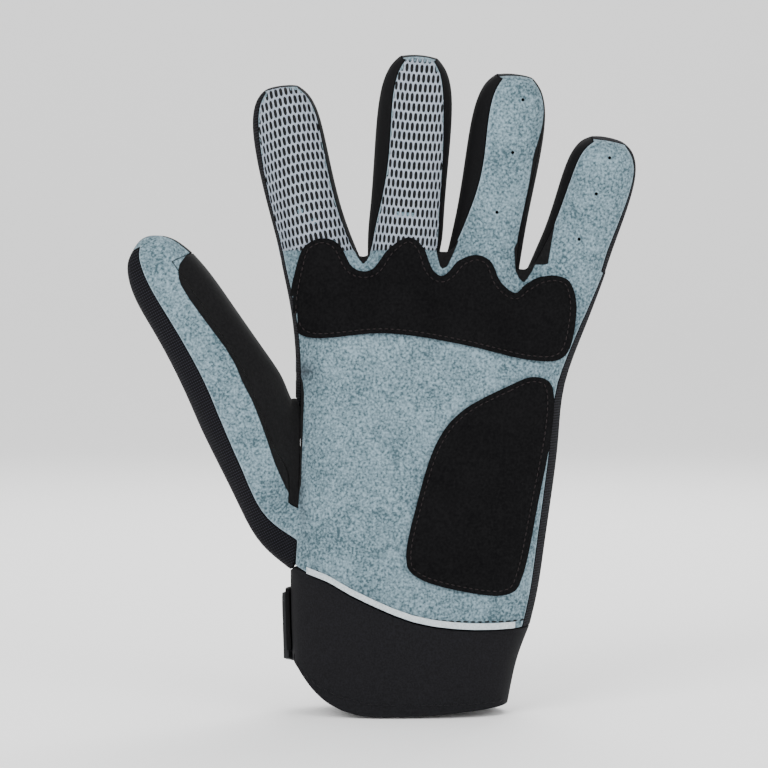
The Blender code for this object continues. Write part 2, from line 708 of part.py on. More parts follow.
def build():
    surface = build_surface()
    ways = face_out(surface)
    names = []
    for panel in surface.panels:
        if panel not in names:
            names.append(panel)
    for name in names:
        faces = triangles(surface, [n for n, p in enumerate(surface.panels) if p == name])
        thick = NEOPRENE if name == "cuff" else CLOTH
        points, solid = thick_shell(surface, ways, faces, -thick, 0, SEAM_GAP / 2)
        paint(make_object(name, points, solid))

    palm = {i for quad, panel in zip(surface.quads, surface.panels)
            if panel == "palm_panel" for i in quad}

    def on_palm(low, high):
        return lambda quad: (all(i in palm for i in quad)
                             and near(surface, quad, -1, low * GLOVE_HEIGHT, high * GLOVE_HEIGHT)
                             and min(surface.points[i].x for i in quad) > -0.39 * KNUCKLE_WIDTH)

    laid_on("finger_base_pad", surface, ways, on_palm(0.45, 0.80), LAY_GAP, PAD_THICK,
            smooth_outline(FINGER_BASE_PAD, 3), -2 * PALM_DEPTH, 0)
    laid_on("heel_pad", surface, ways, on_palm(0.10, 0.60), LAY_GAP, PAD_THICK,
            smooth_outline(HEEL_PAD, 4), -2 * PALM_DEPTH, 0)

    # The strip along the palm's hem follows the hem line on the front
    shares = [-0.86 + 1.72 * i / 10 for i in range(11)]
    lower = [hand_point(u, -1, at(HEM_LINE, u, 1) * GLOVE_HEIGHT) for u in shares]
    band = [Vector((p.x, p.z + SEAM_GAP)) for p in lower]
    band += [Vector((p.x, p.z + SEAM_GAP + HEM_WIDTH)) for p in reversed(lower)]
    laid_on("palm_hem", surface, ways, on_palm(0.05, 0.30), LAY_GAP, HEM_THICK, band, -2 * PALM_DEPTH, 0)

    def on_wrist(quad):
        middle = sum((surface.points[i] for i in quad), Vector()) / 4
        ends = [surface.points[i].x for i in quad]
        low = middle.z < 0.28 * GLOVE_HEIGHT
        return middle.y > -0.1 * PALM_DEPTH and low and min(ends) > -0.42 * KNUCKLE_WIDTH

    laid_on("wrist_strap", surface, ways, on_wrist, LAY_GAP, STRAP_THICK,
            smooth_outline(STRAP_OUTLINE, 4), -2 * PALM_DEPTH, 2 * PALM_DEPTH)
    laid_on("strap_badge", surface, ways, on_wrist, 2 * LAY_GAP + STRAP_THICK, BADGE_THICK,
            smooth_outline(BADGE_OUTLINE, 4), BADGE_EDGE, 2 * PALM_DEPTH)

    # The origin is the middle of the open end
    middle = hand_point(0, 0, 0).x
    for thing in bpy.data.objects:
        thing.data.transform(Matrix.Translation((-middle, 0, 0)))


build()
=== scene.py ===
# %% [markdown]
# # A non-slip cycling glove
# This lesson dresses a glove that is sewn from suede, knit and stretch fabric, with grip pads,
# a printed silicone net, reflective squares and a rubber strap cover. The plain panels come
# from the CAD frame. Each cell refines one kind of piece or sews it on.

# %% Load the frame
import json
import math

import bpy
from mathutils import Matrix, Vector
from mathutils.bvhtree import BVHTree

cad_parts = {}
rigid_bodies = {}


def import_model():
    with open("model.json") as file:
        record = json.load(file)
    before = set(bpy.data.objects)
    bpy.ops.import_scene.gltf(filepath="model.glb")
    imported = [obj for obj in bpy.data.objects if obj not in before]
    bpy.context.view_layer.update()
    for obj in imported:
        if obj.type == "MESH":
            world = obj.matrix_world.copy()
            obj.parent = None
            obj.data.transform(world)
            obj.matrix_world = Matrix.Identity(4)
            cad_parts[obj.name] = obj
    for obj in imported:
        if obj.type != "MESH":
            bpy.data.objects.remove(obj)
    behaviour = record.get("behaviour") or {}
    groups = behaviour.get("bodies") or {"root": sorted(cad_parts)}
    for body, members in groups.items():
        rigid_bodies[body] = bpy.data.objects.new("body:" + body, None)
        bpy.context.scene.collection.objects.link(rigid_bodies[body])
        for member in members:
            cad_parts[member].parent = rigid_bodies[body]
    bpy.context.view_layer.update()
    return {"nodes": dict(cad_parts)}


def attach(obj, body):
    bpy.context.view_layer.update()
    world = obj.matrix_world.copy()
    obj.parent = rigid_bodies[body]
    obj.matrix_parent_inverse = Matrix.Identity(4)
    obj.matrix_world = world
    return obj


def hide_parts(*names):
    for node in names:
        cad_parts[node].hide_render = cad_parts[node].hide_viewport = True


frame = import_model()
MM = 0.001
AWAY = 0.1  # metres from the middle plane to where flat shapes are drawn
print("CAD nodes:", sorted(frame["nodes"]))

# %% [markdown]
# ## Small helpers
# Every step selects one object, edits it and applies the result. The first helper makes an
# object the only one selected. The second applies a modifier at once, so that nothing is left
# live on a finished piece.

# %% Helpers for selecting and applying


def pick(thing):
    """Makes one object the only selected and active one."""
    bpy.ops.object.select_all(action="DESELECT")
    thing.select_set(True)
    bpy.context.view_layer.objects.active = thing


def modify(thing, kind, **settings):
    """Adds a modifier with these settings and applies it."""
    pick(thing)
    modifier = thing.modifiers.new(kind.lower(), kind)
    for name, value in settings.items():
        setattr(modifier, name, value)
    bpy.ops.object.modifier_apply(modifier=modifier.name)


def join(things, name):
    """Joins objects into one with this name."""
    pick(things[0])
    for thing in things:
        thing.select_set(True)
    if len(things) > 1:
        bpy.ops.object.join()
    things[0].name = name
    return things[0]


def finish_piece(piece, material, angle=50):
    """Gives a piece its material, smooth faces and the glove's own motion."""
    piece.data.materials.append(material)
    pick(piece)
    bpy.ops.object.shade_smooth_by_angle(angle=math.radians(angle))
    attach(piece, "root")
    print(piece.name, len(piece.data.polygons), "faces")
    return piece


# %% [markdown]
# ## Colours and materials
# Colours are read off the photograph as hex values, which are sRGB, and shaders want linear
# numbers. Each material is a Principled shader whose colour and bump come from patterns of a
# real size: suede nap under a millimetre, knit ribs one millimetre apart.

# %% Helpers for materials


def linear(hex_colour):
    """A hex colour as linear red, green, blue and alpha."""
    values = []
    for start in (0, 2, 4):
        share = int(hex_colour[start:start + 2], 16) / 255
        values.append(share / 12.92 if share <= 0.04045 else ((share + 0.055) / 1.055) ** 2.4)
    return values + [1.0]


def new_material(name, hex_colour, roughness, sheen=0.0, specular=0.5):
    """A plain Principled material."""
    material = bpy.data.materials.new(name)
    material.use_nodes = True
    shader = material.node_tree.nodes["Principled BSDF"]
    shader.inputs["Base Color"].default_value = linear(hex_colour)
    shader.inputs["Roughness"].default_value = roughness
    shader.inputs["Sheen Weight"].default_value = sheen
    shader.inputs["Specular IOR Level"].default_value = specular
    return material


def add_node(material, kind, settings=None, **sockets):
    """Adds a shader node. A socket is given by name, or as _0, _1 by place."""
    made = material.node_tree.nodes.new(kind)
    for name, value in (settings or {}).items():
        setattr(made, name, value)
    for name, value in sockets.items():
        key = int(name[1:]) if name.startswith("_") else name
        if isinstance(value, bpy.types.NodeSocket):
            material.node_tree.links.new(value, made.inputs[key])
        else:
            made.inputs[key].default_value = value
    return made


def wire(material, output, socket):
    """Links an output to a socket of the material's shader."""
    shader = material.node_tree.nodes["Principled BSDF"]
    material.node_tree.links.new(output, shader.inputs[socket])


def ramp(material, value, low, dark, high, light):
    """A colour that goes from dark at low to light at high."""
    made = add_node(material, "ShaderNodeValToRGB", Fac=value)
    made.color_ramp.elements[0].position = low
    made.color_ramp.elements[0].color = linear(dark)
    made.color_ramp.elements[1].position = high
    made.color_ramp.elements[1].color = linear(light)
    return made.outputs["Color"]


def blend(material, share, first, second):
    """Goes from the first colour to the second as share goes from 0 to 1."""
    made = add_node(material, "ShaderNodeMix", {"data_type": "RGBA"}, _0=share, _6=first, _7=second)
    return made.outputs[2]


# %% [markdown]
# ### Suede
# Synthetic suede is a felt of very fine fibres. What shows is a fine speckle and softer cloudy
# patches where the nap was brushed one way or the other. Two noises of different size make
# both, and a little sheen gives the fibres' soft edge light. Real fibres are about a tenth of a
# millimetre, too fine to show, so the nap is drawn ten times as coarse. Along a seam the edge is
# paler, a painted highlight, and in a deep fold it is dark, a painted shade. One glove also has
# two colours of it. Three numbers, stored at each point of the mesh in a later step, tell the
# shader where.

# %% Suede


def suede_colour(material, place, dark, light):
    """The speckled colour of suede."""
    nap = add_node(material, "ShaderNodeTexNoise", Vector=place, Scale=1.1 / MM, Detail=2.0)
    cloud = add_node(material, "ShaderNodeTexNoise", Vector=place, Scale=0.07 / MM, Detail=2.0)
    mixed = add_node(material, "ShaderNodeMath", {"operation": "MULTIPLY_ADD"},
                     _0=cloud.outputs["Fac"], _1=0.3, _2=nap.outputs["Fac"])
    return ramp(material, mixed.outputs["Value"], 0.47, dark, 0.83, light), nap.outputs["Fac"]


# Synthetic suede of polyester microfibre: no gloss, a cloudy blue-grey speckle.
GREY_SUEDE = new_material("grey_blue_and_black_suede", "7E939E", 0.95, sheen=0.05, specular=0.15)
place = add_node(GREY_SUEDE, "ShaderNodeTexCoord").outputs["Object"]
grey, nap = suede_colour(GREY_SUEDE, place, "35484F", "788D97")
# painted highlight: the suede is paler within a millimetre of the panel's cut edges
rim = add_node(GREY_SUEDE, "ShaderNodeAttribute", {"attribute_name": "rim"}).outputs["Fac"]
rim_share = add_node(GREY_SUEDE, "ShaderNodeMapRange", _0=rim, _1=0.1, _2=0.7, _3=0.4, _4=0.0)
grey = blend(GREY_SUEDE, rim_share.outputs[0], grey, linear("8B9BA3"))
# painted shade: the suede turns a near-black purple in the creases
fold = add_node(GREY_SUEDE, "ShaderNodeAttribute", {"attribute_name": "fold"}).outputs["Fac"]
grey = blend(GREY_SUEDE, fold, grey, linear("1E1C22"))
black, nap = suede_colour(GREY_SUEDE, place, "040405", "0D0D0E")
patch = add_node(GREY_SUEDE, "ShaderNodeAttribute", {"attribute_name": "patch"}).outputs["Fac"]
inside = add_node(GREY_SUEDE, "ShaderNodeMapRange", _0=patch, _1=-0.1, _2=0.1)
wire(GREY_SUEDE, blend(GREY_SUEDE, inside.outputs[0], grey, black), "Base Color")
bump = add_node(GREY_SUEDE, "ShaderNodeBump", Height=nap, Strength=0.4, Distance=0.12 * MM)
wire(GREY_SUEDE, bump.outputs["Normal"], "Normal")

# The same suede dyed black, brushed one way: nearly even.
BLACK_SUEDE = new_material("black_pad_suede", "0A0A0B", 0.95, specular=0.1)
place = add_node(BLACK_SUEDE, "ShaderNodeTexCoord").outputs["Object"]
black, nap = suede_colour(BLACK_SUEDE, place, "030304", "0C0C0D")
wire(BLACK_SUEDE, black, "Base Color")
bump = add_node(BLACK_SUEDE, "ShaderNodeBump", Height=nap, Strength=0.4, Distance=0.12 * MM)
wire(BLACK_SUEDE, bump.outputs["Normal"], "Normal")
print("suede:", GREY_SUEDE.name, BLACK_SUEDE.name)

# %% [markdown]
# ### Knit, stretch, foam, print, silicone and rubber
# The back is a ribbed knit: rows of loops run across the hand and columns run up it, so light
# catches in a grid of small dots. A real row is about half a millimetre and is drawn twice as
# coarse, or it wouldn't show. The panels get a map, written in the next step, that runs up
# each finger. The pattern reads that map, so the ribs turn with the fingers. The other
# materials are plain, each with a grain of its own size.

# %% Knit, stretch, foam, print, silicone and rubber


def ribbed(name, dark, light, pitch, column):
    """A knit: rows one pitch apart, crossed by columns."""
    material = new_material(name, dark, 0.9, specular=0.12)
    place = add_node(material, "ShaderNodeUVMap", {"uv_map": "cloth"}).outputs["UV"]
    axes = add_node(material, "ShaderNodeSeparateXYZ", Vector=place)
    waves = []
    for axis, step in (("Y", pitch), ("X", column)):
        turned = add_node(material, "ShaderNodeMath", {"operation": "MULTIPLY"},
                          _0=axes.outputs[axis], _1=2 * math.pi / step)
        wave = add_node(material, "ShaderNodeMath", {"operation": "SINE"},
                        _0=turned.outputs["Value"])
        waves.append(wave.outputs["Value"])
    columns = add_node(material, "ShaderNodeMath", {"operation": "MULTIPLY_ADD"},
                       _0=waves[1], _1=0.35, _2=0.65)
    rows = add_node(material, "ShaderNodeMath", {"operation": "MULTIPLY_ADD"},
                    _0=waves[0], _1=0.5, _2=0.5)
    grid = add_node(material, "ShaderNodeMath", {"operation": "MULTIPLY"},
                    _0=rows.outputs["Value"], _1=columns.outputs["Value"]).outputs["Value"]
    wire(material, ramp(material, grid, 0.3, dark, 1.0, light), "Base Color")
    bump = add_node(material, "ShaderNodeBump", Height=grid, Strength=0.6, Distance=0.25 * MM)
    wire(material, bump.outputs["Normal"], "Normal")
    return material


def grained(name, dark, light, roughness, grain, depth, specular=0.15):
    """A plain surface with a fine grain of this size."""
    material = new_material(name, light, roughness, specular=specular)
    place = add_node(material, "ShaderNodeTexCoord").outputs["Object"]
    noise = add_node(material, "ShaderNodeTexNoise", Vector=place, Scale=1 / grain, Detail=2.0)
    wire(material, ramp(material, noise.outputs["Fac"], 0.35, dark, 0.65, light), "Base Color")
    bump = add_node(material, "ShaderNodeBump", Height=noise.outputs["Fac"], Strength=0.3,
                    Distance=depth)
    wire(material, bump.outputs["Normal"], "Normal")
    return material


# Polyester knit: dull, with rows of dots where the loops catch light.
RIB_KNIT = ribbed("black_ribbed_knit", "040406", "26262E", 1.0 * MM, 0.8 * MM)
# Brushed elastane jersey: near black, no pattern that the eye can see.
STRETCH = grained("black_stretch_jersey", "030304", "08080A", 0.85, 0.4 * MM, 0.05 * MM)
# Foam rubber faced with jersey: soft, dull, a little paler than the jersey.
NEOPRENE = grained("black_foam_fabric", "0A0A0C", "131316", 0.9, 0.6 * MM, 0.08 * MM)
# Loop-faced nylon: rough and dull.
STRAP_CLOTH = grained("black_strap_cloth", "050506", "0C0C0E", 0.9, 0.5 * MM, 0.12 * MM)
# Woven cotton tape: pale and matt.
TAPE = grained("light_grey_tape", "A3ACB0", "BAC2C6", 0.85, 0.7 * MM, 0.06 * MM)
# Twisted polyester thread: each stitch has a faint highlight.
THREAD = grained("black_polyester_thread", "08080A", "121215", 0.6, 0.3 * MM, 0.04 * MM)
# The same thread in dark brown, just lighter than the black pad.
PAD_THREAD = grained("dark_brown_thread", "141011", "241C1D", 0.6, 0.3 * MM, 0.04 * MM)
# Printed silicone with aluminium powder: a satin silver grey.
SILVER_NET = grained("silver_silicone_line", "78818D", "8F97A2", 0.6, 0.8 * MM, 0.03 * MM, 0.3)
# Thin printed silicone: smooth black, flatter than the lines round it.
BLACK_FILM = grained("black_silicone_film", "030405", "08090B", 0.6, 0.8 * MM, 0.03 * MM)
# Ink with glass beads: pale silver with a fine grain.
REFLECTIVE = grained("silver_reflective_print", "8F99AB", "A4AEBE", 0.6, 0.9 * MM, 0.05 * MM, 0.3)
# Moulded PVC rubber, dark grey: an even satin skin.
RUBBER = grained("dark_grey_moulded_rubber", "0F1013", "17191D", 0.5, 0.9 * MM, 0.02 * MM, 0.3)
# The same rubber, mid grey.
GREY_RUBBER = grained("mid_grey_moulded_rubber", "4A4E55", "575C63", 0.5, 0.9 * MM, 0.02 * MM, 0.3)
# The same rubber, white: it draws the cover's rim.
WHITE_RUBBER = grained("white_moulded_rubber", "B9BDC0", "CFD2D4", 0.5, 0.9 * MM, 0.02 * MM, 0.3)
print("materials:", len(bpy.data.materials))

# %% [markdown]
# ## Sewn panels
# The glove is cut from flat panels that are sewn edge to edge and then filled by the hand. The
# CAD has each panel as a coarse closed shell, so a copy of it is merged, turned back into quads
# and subdivided. Its sharp rims are creased first, so neighbours keep meeting at the same seam.

# %% Panels from the CAD shells

FINGER_AXES = [
    # foot x   foot z   tip x   tip z      millimetres, on the finger's middle line
    (-29.4, 166.5, -43.7, 230.0),
    (1.2, 169.0, 6.8, 241.5),
    (30.5, 166.5, 41.8, 234.5),
    (61.2, 162.5, 76.1, 210.8),
]
THUMB_AXIS = (-44.0, 78.0, -90.0, 165.0)


def cloth_place(point, thumb):
    """Where a point lies on the cloth, across it and up it."""
    axes = [THUMB_AXIS] if thumb else FINGER_AXES
    x, z = point.x / MM, point.z / MM
    gaps = [abs(x - x0 - (x1 - x0) * (z - z0) / (z1 - z0)) for x0, z0, x1, z1 in axes]
    x0, z0, x1, z1 = axes[gaps.index(min(gaps))]
    lean = math.atan2(x1 - x0, z1 - z0)
    if not thumb:
        share = min(1.0, max(0.0, (z - z0 + 30) / 38))
        lean *= share * share * (3 - 2 * share)
    along = z0 + (z - z0) * math.cos(lean) + (x - x0) * math.sin(lean)
    across = (x - x0) * math.cos(lean) - (z - z0) * math.sin(lean)
    return across * MM, along * MM


def write_cloth_map(piece, thumb):
    """Writes the map that the knit reads. A face that looks sideways is measured in depth."""
    layer = piece.data.uv_layers.new(name="cloth")
    for face in piece.data.polygons:
        for loop in face.loop_indices:
            point = piece.data.vertices[piece.data.loops[loop].vertex_index].co
            across, along = cloth_place(point, thumb)
            layer.data[loop].uv = (point.y if abs(face.normal.y) < 0.6 else across, along)


def fine_copy(node, name, levels=2, crease=0.85):
    """A rounded copy of a CAD node, with its rims kept."""
    piece = bpy.data.objects.new(name, frame["nodes"][node].data.copy())
    bpy.context.collection.objects.link(piece)
    piece.data.materials.clear()
    pick(piece)
    bpy.ops.object.mode_set(mode="EDIT")
    bpy.ops.mesh.customdata_custom_splitnormals_clear()
    bpy.ops.mesh.select_all(action="SELECT")
    bpy.ops.mesh.remove_doubles(threshold=0.02 * MM)
    bpy.ops.mesh.normals_make_consistent(inside=False)
    bpy.ops.mesh.tris_convert_to_quads(face_threshold=math.radians(40),
                                       shape_threshold=math.radians(60))
    bpy.ops.mesh.select_all(action="DESELECT")
    bpy.ops.mesh.select_mode(type="EDGE")
    bpy.ops.mesh.edges_select_sharp(sharpness=math.radians(58))
    bpy.ops.transform.edge_crease(value=crease)
    bpy.ops.object.mode_set(mode="OBJECT")
    modify(piece, "SUBSURF", levels=levels, render_levels=levels)
    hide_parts(node)
    return piece


PANELS = [
    # node                 material    on the thumb  levels
    ("palm_panel", GREY_SUEDE, False, 2),
    ("back_panel", RIB_KNIT, False, 2),
    ("index_middle_side", STRETCH, False, 2),
    ("middle_ring_side", STRETCH, False, 2),
    ("ring_little_side", STRETCH, False, 2),
    ("thumb_patch", GREY_SUEDE, True, 3),
    ("thumb_back", STRETCH, True, 2),
    ("thumb_side", RIB_KNIT, True, 2),
    ("cuff", NEOPRENE, False, 2),
    ("wrist_strap", STRAP_CLOTH, False, 1),
]
panels = {}
for node, material, thumb, levels in PANELS:
    panel = fine_copy(node, node + "_cloth", levels)
    if material is RIB_KNIT:
        write_cloth_map(panel, thumb)
    panels[node] = finish_piece(panel, material)

# %% [markdown]
# ### Where the suede changes colour
# The thumb's inner side is black, the black stretch cloth between two fingers ends in a small V
# on the palm, and a black strip runs up beside the ring finger. Each point of the suede stores
# how far it lies inside those outlines. Two more numbers are stored: the distance to the panel's
# cut edge, which sets a painted highlight along it, and how much painted shade a fold gets there.

# %% Outlines, painted edge highlight and painted fold shade, written on the suede

THUMB_BLACK = [
    # x      z
    (-75.0, 170.5), (-77.8, 168.0), (-79.8, 165.0), (-80.4, 161.3), (-79.2, 157.4),
    (-76.6, 153.0), (-72.6, 147.3), (-67.8, 140.8), (-63.4, 134.8), (-59.8, 128.6),
    (-57.4, 122.4), (-53.9, 115.6), (-51.2, 108.6), (-48.6, 101.2), (-45.9, 92.6),
    (-42.3, 84.0), (-38.6, 76.8), (-36.4, 84.0), (-36.0, 96.0), (-35.2, 118.0),
    (-36.0, 124.0), (-50.0, 150.0), (-66.0, 172.0),
]
WEB_BLACKS = [
    [(-17.6, 173.0), (-16.4, 169.0), (-14.8, 166.0), (-13.4, 165.0), (-11.8, 166.0),
     (-11.0, 169.0), (-10.8, 173.0)],
    [(13.0, 174.0), (13.4, 168.0), (14.4, 164.6), (15.8, 163.4), (17.4, 164.6), (19.2, 168.5),
     (21.5, 174.0)],
    [(41.6, 172.0), (42.2, 163.0), (43.4, 159.4), (45.2, 158.4), (47.2, 160.0), (49.0, 164.0),
     (51.2, 171.0)],
    [(52.6, 228.0), (52.5, 223.0), (51.6, 215.0), (50.1, 210.0), (48.5, 205.0), (47.0, 195.0),
     (45.0, 185.0), (42.9, 175.0), (42.0, 165.0), (54.0, 165.0), (60.0, 200.0), (60.0, 228.0)],
]
THUMB_SIDE = -33.0  # x where the thumb's suede begins
BLACK_DEPTH = -12.0  # y past which the thumb's suede is black all over
RIM_REACH = 7.0  # how far round the black the cut edge gets no painted highlight
# painted shade: blobs that darken the suede in the creases beside the thumb
FOLD_SHADES = [
    # x      z      wide   tall   lean  painted shade
    (-36.5, 125.6, 5.0, 3.6, 10, 0.75),
    (-36.8, 86.0, 1.6, 16.0, 5, 0.55),
    (-38.5, 103.0, 1.8, 10.0, 12, 0.35),
]


def inside_by(x, z, outline):
    """Millimetres from the outline, more than 0 inside it."""
    nearest, inside = 1e9, False
    for (x0, z0), (x1, z1) in zip(outline, outline[1:] + outline[:1]):
        if (z0 > z) != (z1 > z) and x < x0 + (z - z0) * (x1 - x0) / (z1 - z0):
            inside = not inside
        long = (x1 - x0) ** 2 + (z1 - z0) ** 2
        share = min(1.0, max(0.0, ((x - x0) * (x1 - x0) + (z - z0) * (z1 - z0)) / long))
        nearest = min(nearest, math.hypot(x - x0 - share * (x1 - x0), z - z0 - share * (z1 - z0)))
    return nearest if inside else -nearest


def rim_tree(piece):
    """The sharp edges of a panel, as a tree that finds the nearest one."""
    rims = []
    normals = {}
    for face in piece.data.polygons:
        for key in face.edge_keys:
            normals.setdefault(key, []).append(face.normal)
    for (a, b), sides in normals.items():
        if len(sides) == 2 and sides[0].dot(sides[1]) < 0.6:
            rims.append((piece.data.vertices[a].co, piece.data.vertices[b].co))
    points = [p for edge in rims for p in (edge[0], edge[1], edge[0].lerp(edge[1], 0.5))]
    count = len(rims)
    return BVHTree.FromPolygons(points, [(3 * i, 3 * i + 2, 3 * i + 1) for i in range(count)])


def write_suede(piece):
    """Writes patch, painted edge highlight and painted crease shade at each point of a suede panel.
    """
    tree = rim_tree(piece)
    values = {"patch": [], "rim": [], "fold": []}
    for name in values:
        piece.data.attributes.new(name, "FLOAT", "POINT")
    for vertex in piece.data.vertices:
        x, y, z = vertex.co / MM
        outlines = [THUMB_BLACK] if x < THUMB_SIDE else WEB_BLACKS
        patch = max(inside_by(x, z, outline) for outline in outlines)
        near_black = x < THUMB_SIDE and patch > -RIM_REACH
        if near_black and piece is panels["thumb_patch"]:
            patch = max(patch, y - BLACK_DEPTH)
        values["patch"].append(min(3.0, max(-3.0, patch)))
        # painted highlight: millimetres to the cut edge; 9 near the black, where none is painted
        values["rim"].append(9.0 if near_black else tree.find_nearest(vertex.co)[3] / MM)
        # painted shade: how dark the crease blobs make the suede here, on the front only
        dark = 0.0
        for fx, fz, wide, tall, lean, depth in FOLD_SHADES:
            turn = math.radians(lean)
            across = (x - fx) * math.cos(turn) + (z - fz) * math.sin(turn)
            along = (z - fz) * math.cos(turn) - (x - fx) * math.sin(turn)
            dark = max(dark, depth * math.exp(-(across / wide) ** 2 - (along / tall) ** 2))
        values["fold"].append(dark if y < 0 else 0.0)
    for name, numbers in values.items():
        piece.data.attributes[name].data.foreach_set("value", numbers)


for name in ("palm_panel", "thumb_patch"):
    write_suede(panels[name])

# %% [markdown]
# ## Sewing and printing things on
# Pads, squares and lines are flat shapes that follow the glove. Each is drawn as an outline,
# sliced into small squares by bisecting it, projected onto the panel and then given thickness.
# Slicing first lets a flat face bend.

# %% Helpers for laid-on pieces


def smooth_loop(points, count):
    """A closed smooth line through the points, with this many places from each to the next."""
    places = []
    size = len(points)
    for i in range(size):
        a, b, c, d = (Vector(points[(i + k) % size]) for k in (-1, 0, 1, 2))
        for step in range(count):
            t = step / count
            place = b * 2 + (c - a) * t + (a * 2 - b * 5 + c * 4 - d) * t * t
            places.append((place + (b * 3 - a - c * 3 + d) * t ** 3) / 2)
    return places


def flat_shapes(name, outlines, front=True, step=1.6):
    """One flat object of filled outlines in the plane ahead of the glove, sliced into squares."""
    parts = []
    for outline in outlines:
        bpy.ops.mesh.primitive_circle_add(vertices=len(outline), fill_type="NGON")
        part = bpy.context.active_object
        for vertex, place in zip(part.data.vertices, outline):
            vertex.co = (place[0] * MM, (-AWAY if front else AWAY), place[1] * MM)
        parts.append(part)
    shape = join(parts, name)
    xs = [place[0] for outline in outlines for place in outline]
    zs = [place[1] for outline in outlines for place in outline]
    bpy.ops.object.mode_set(mode="EDIT")
    for axis, low, high in ((0, min(xs), max(xs)), (2, min(zs), max(zs))):
        for number in range(1, int((high - low) / step) + 1):
            place = [0, 0, 0]
            place[axis] = (low + number * step) * MM
            bpy.ops.mesh.select_all(action="SELECT")
            bpy.ops.mesh.bisect(plane_co=place, plane_no=[float(k == axis) for k in range(3)])
    bpy.ops.object.mode_set(mode="OBJECT")
    return shape


def face_way(shape, front):
    """Turns a flat shape's faces to the front or the back."""
    pick(shape)
    bpy.ops.object.mode_set(mode="EDIT")
    bpy.ops.mesh.select_all(action="SELECT")
    bpy.ops.mesh.normals_make_consistent(inside=False)
    bpy.ops.object.mode_set(mode="OBJECT")
    if (sum(face.normal.y for face in shape.data.polygons) > 0) == front:
        bpy.ops.object.mode_set(mode="EDIT")
        bpy.ops.mesh.select_all(action="SELECT")
        bpy.ops.mesh.flip_normals()
        bpy.ops.object.mode_set(mode="OBJECT")


def lay_on(shape, base, lift, thick, front=True, trim=0):
    """Projects a flat shape onto a panel and gives it thickness. What misses it is cut off."""
    face_way(shape, front)
    modify(shape, "SHRINKWRAP", target=base, wrap_method="PROJECT", use_project_y=True,
           use_positive_direction=front, use_negative_direction=not front)
    pick(shape)
    bpy.ops.object.mode_set(mode="EDIT")
    bpy.ops.mesh.select_mode(type="VERT")
    bpy.ops.mesh.select_all(action="DESELECT")
    bpy.ops.object.mode_set(mode="OBJECT")
    for vertex in shape.data.vertices:
        vertex.select = abs(vertex.co.y) > 0.9 * AWAY
    bpy.ops.object.mode_set(mode="EDIT")
    for _ in range(trim):
        bpy.ops.mesh.select_more()
    bpy.ops.mesh.delete(type="VERT")
    bpy.ops.object.mode_set(mode="OBJECT")
    modify(shape, "DISPLACE", strength=lift, mid_level=0, direction="NORMAL")
    modify(shape, "SOLIDIFY", thickness=thick, offset=1, use_even_offset=False)


# %% [markdown]
# ### Grip pads
# Two pads of black suede are stitched onto the palm: one with a dome under each finger, one
# under the little finger's side of the heel. Their outlines are smooth lines through a few
# points. The rim is rounded a little, as a cut edge of padded suede is.

# %% Grip pads

STITCH_INSET = 1.7
PAD_OUTLINE = [
    # x      z
    (-39.7, 151.7), (-37.6, 163.4), (-34.9, 171.6), (-28.6, 174.7), (-23.0, 172.1),
    (-18.7, 164.3), (-13.8, 162.1), (-8.9, 163.6), (-3.7, 170.9), (2.9, 175.0),
    (7.8, 171.3), (10.7, 163.4), (14.6, 160.4), (18.4, 162.1), (22.1, 166.3),
    (27.8, 168.4), (32.8, 166.0), (36.1, 158.5), (41.6, 154.2), (46.1, 157.1),
    (51.8, 160.2), (57.7, 160.7), (62.2, 157.8), (63.7, 147.6), (59.6, 132.1),
    (47.0, 130.2), (21.8, 136.0), (-4.7, 139.9), (-31.3, 138.2), (-38.9, 143.7),
]
HEEL_OUTLINE = [
    # x      z
    (38.8, 120.5), (48.5, 124.1), (54.8, 120.3), (54.6, 104.5), (49.4, 77.4), (44.2, 52.3),
    (38.3, 44.8), (22.3, 46.2), (6.4, 51.1), (2.0, 58.8), (5.9, 77.9), (12.7, 99.2),
    (22.3, 111.6),
]
pad_loop = smooth_loop(PAD_OUTLINE, 8)
heel_loop = smooth_loop(HEEL_OUTLINE, 10)
for node, loop in (("finger_base_pad", pad_loop), ("heel_pad", heel_loop)):
    pad = flat_shapes(node + "_suede", [loop])
    lay_on(pad, panels["palm_panel"], 0.45 * MM, 1.1 * MM)
    modify(pad, "BEVEL", width=0.35 * MM, segments=2, limit_method="ANGLE",
           angle_limit=math.radians(60))
    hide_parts(node)
    finish_piece(pad, BLACK_SUEDE)
    panels[node] = pad

# %% [markdown]
# ### Stitches
# A stitch is a short fat thread lying along the seam, and the next one starts a little after it
# ends. One rounded stitch is modelled. Copies are set along a line at equal distances, each
# turned to the line and to the surface below it.

# %% Stitches

bpy.ops.mesh.primitive_uv_sphere_add(segments=8, ring_count=5, radius=0.5)
stitch = bpy.context.active_object
stitch.name = "one_stitch"


def surface_tree(piece):
    """The faces of a piece, as a tree that a ray can be cast at."""
    mesh = piece.data
    return BVHTree.FromPolygons([v.co for v in mesh.vertices], [f.vertices for f in mesh.polygons])


def spread(line, step, closed):
    """Places at equal distances along a line, with the way the line runs there."""
    points = [Vector(p) for p in line] + ([Vector(line[0])] if closed else [])
    places = []
    ahead = step / 2
    for a, b in zip(points, points[1:]):
        long = (b - a).length
        while ahead < long:
            places.append((a.lerp(b, ahead / long), (b - a).normalized()))
            ahead += step
        ahead -= long
    return places


